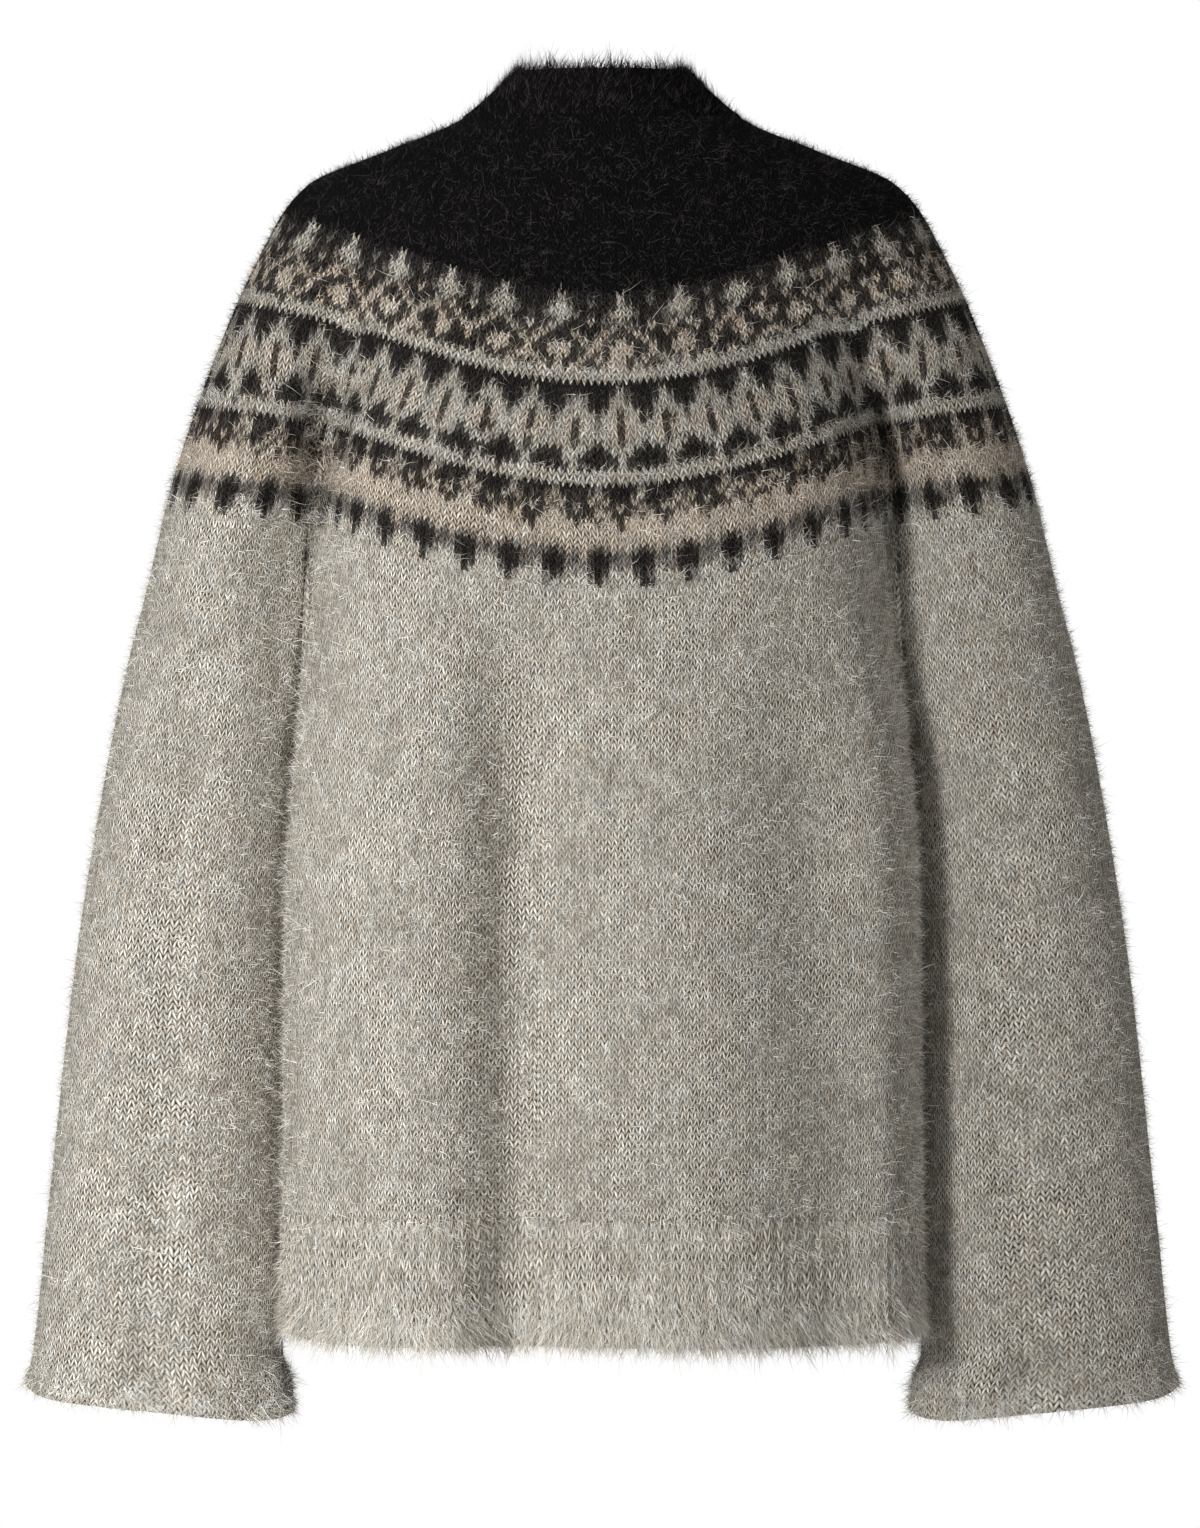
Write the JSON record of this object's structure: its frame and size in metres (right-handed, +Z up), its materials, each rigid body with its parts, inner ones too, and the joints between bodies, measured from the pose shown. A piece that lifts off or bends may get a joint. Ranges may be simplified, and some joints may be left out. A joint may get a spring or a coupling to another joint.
{
  "type": "nordic yoke sweater",
  "caption": "Fluffy knitted sweater with a banded round yoke, short ribbed stand collar, wide bell sleeves and ribbed hem, filled out as if worn.",
  "frame": {"origin": "middle of the neck, level with the shoulders' neck points, where the wearer's shoulders hold the garment up", "axes": "+Z up the body, -Y towards the seen side, +X towards the wearer's left arm"},
  "size_m": [0.615, 0.2472, 0.7182],
  "materials": {
    "black_wool": "brushed mohair and wool knit, matt, charcoal black",
    "pattern_wool": "brushed mohair and wool knit, matt, colourwork in black, light grey, beige and brown",
    "grey_wool": "brushed mohair and wool knit, matt, grey marl"
  },
  "bodies": {
    "root": {"collar_rib": "black_wool", "yoke_front": "pattern_wool", "yoke_back": "pattern_wool", "body_front": "grey_wool", "body_back": "grey_wool", "hem_rib_front": "grey_wool", "hem_rib_back": "grey_wool", "sleeve_left": "grey_wool", "sleeve_right": "grey_wool"}
  },
  "joints": []
}
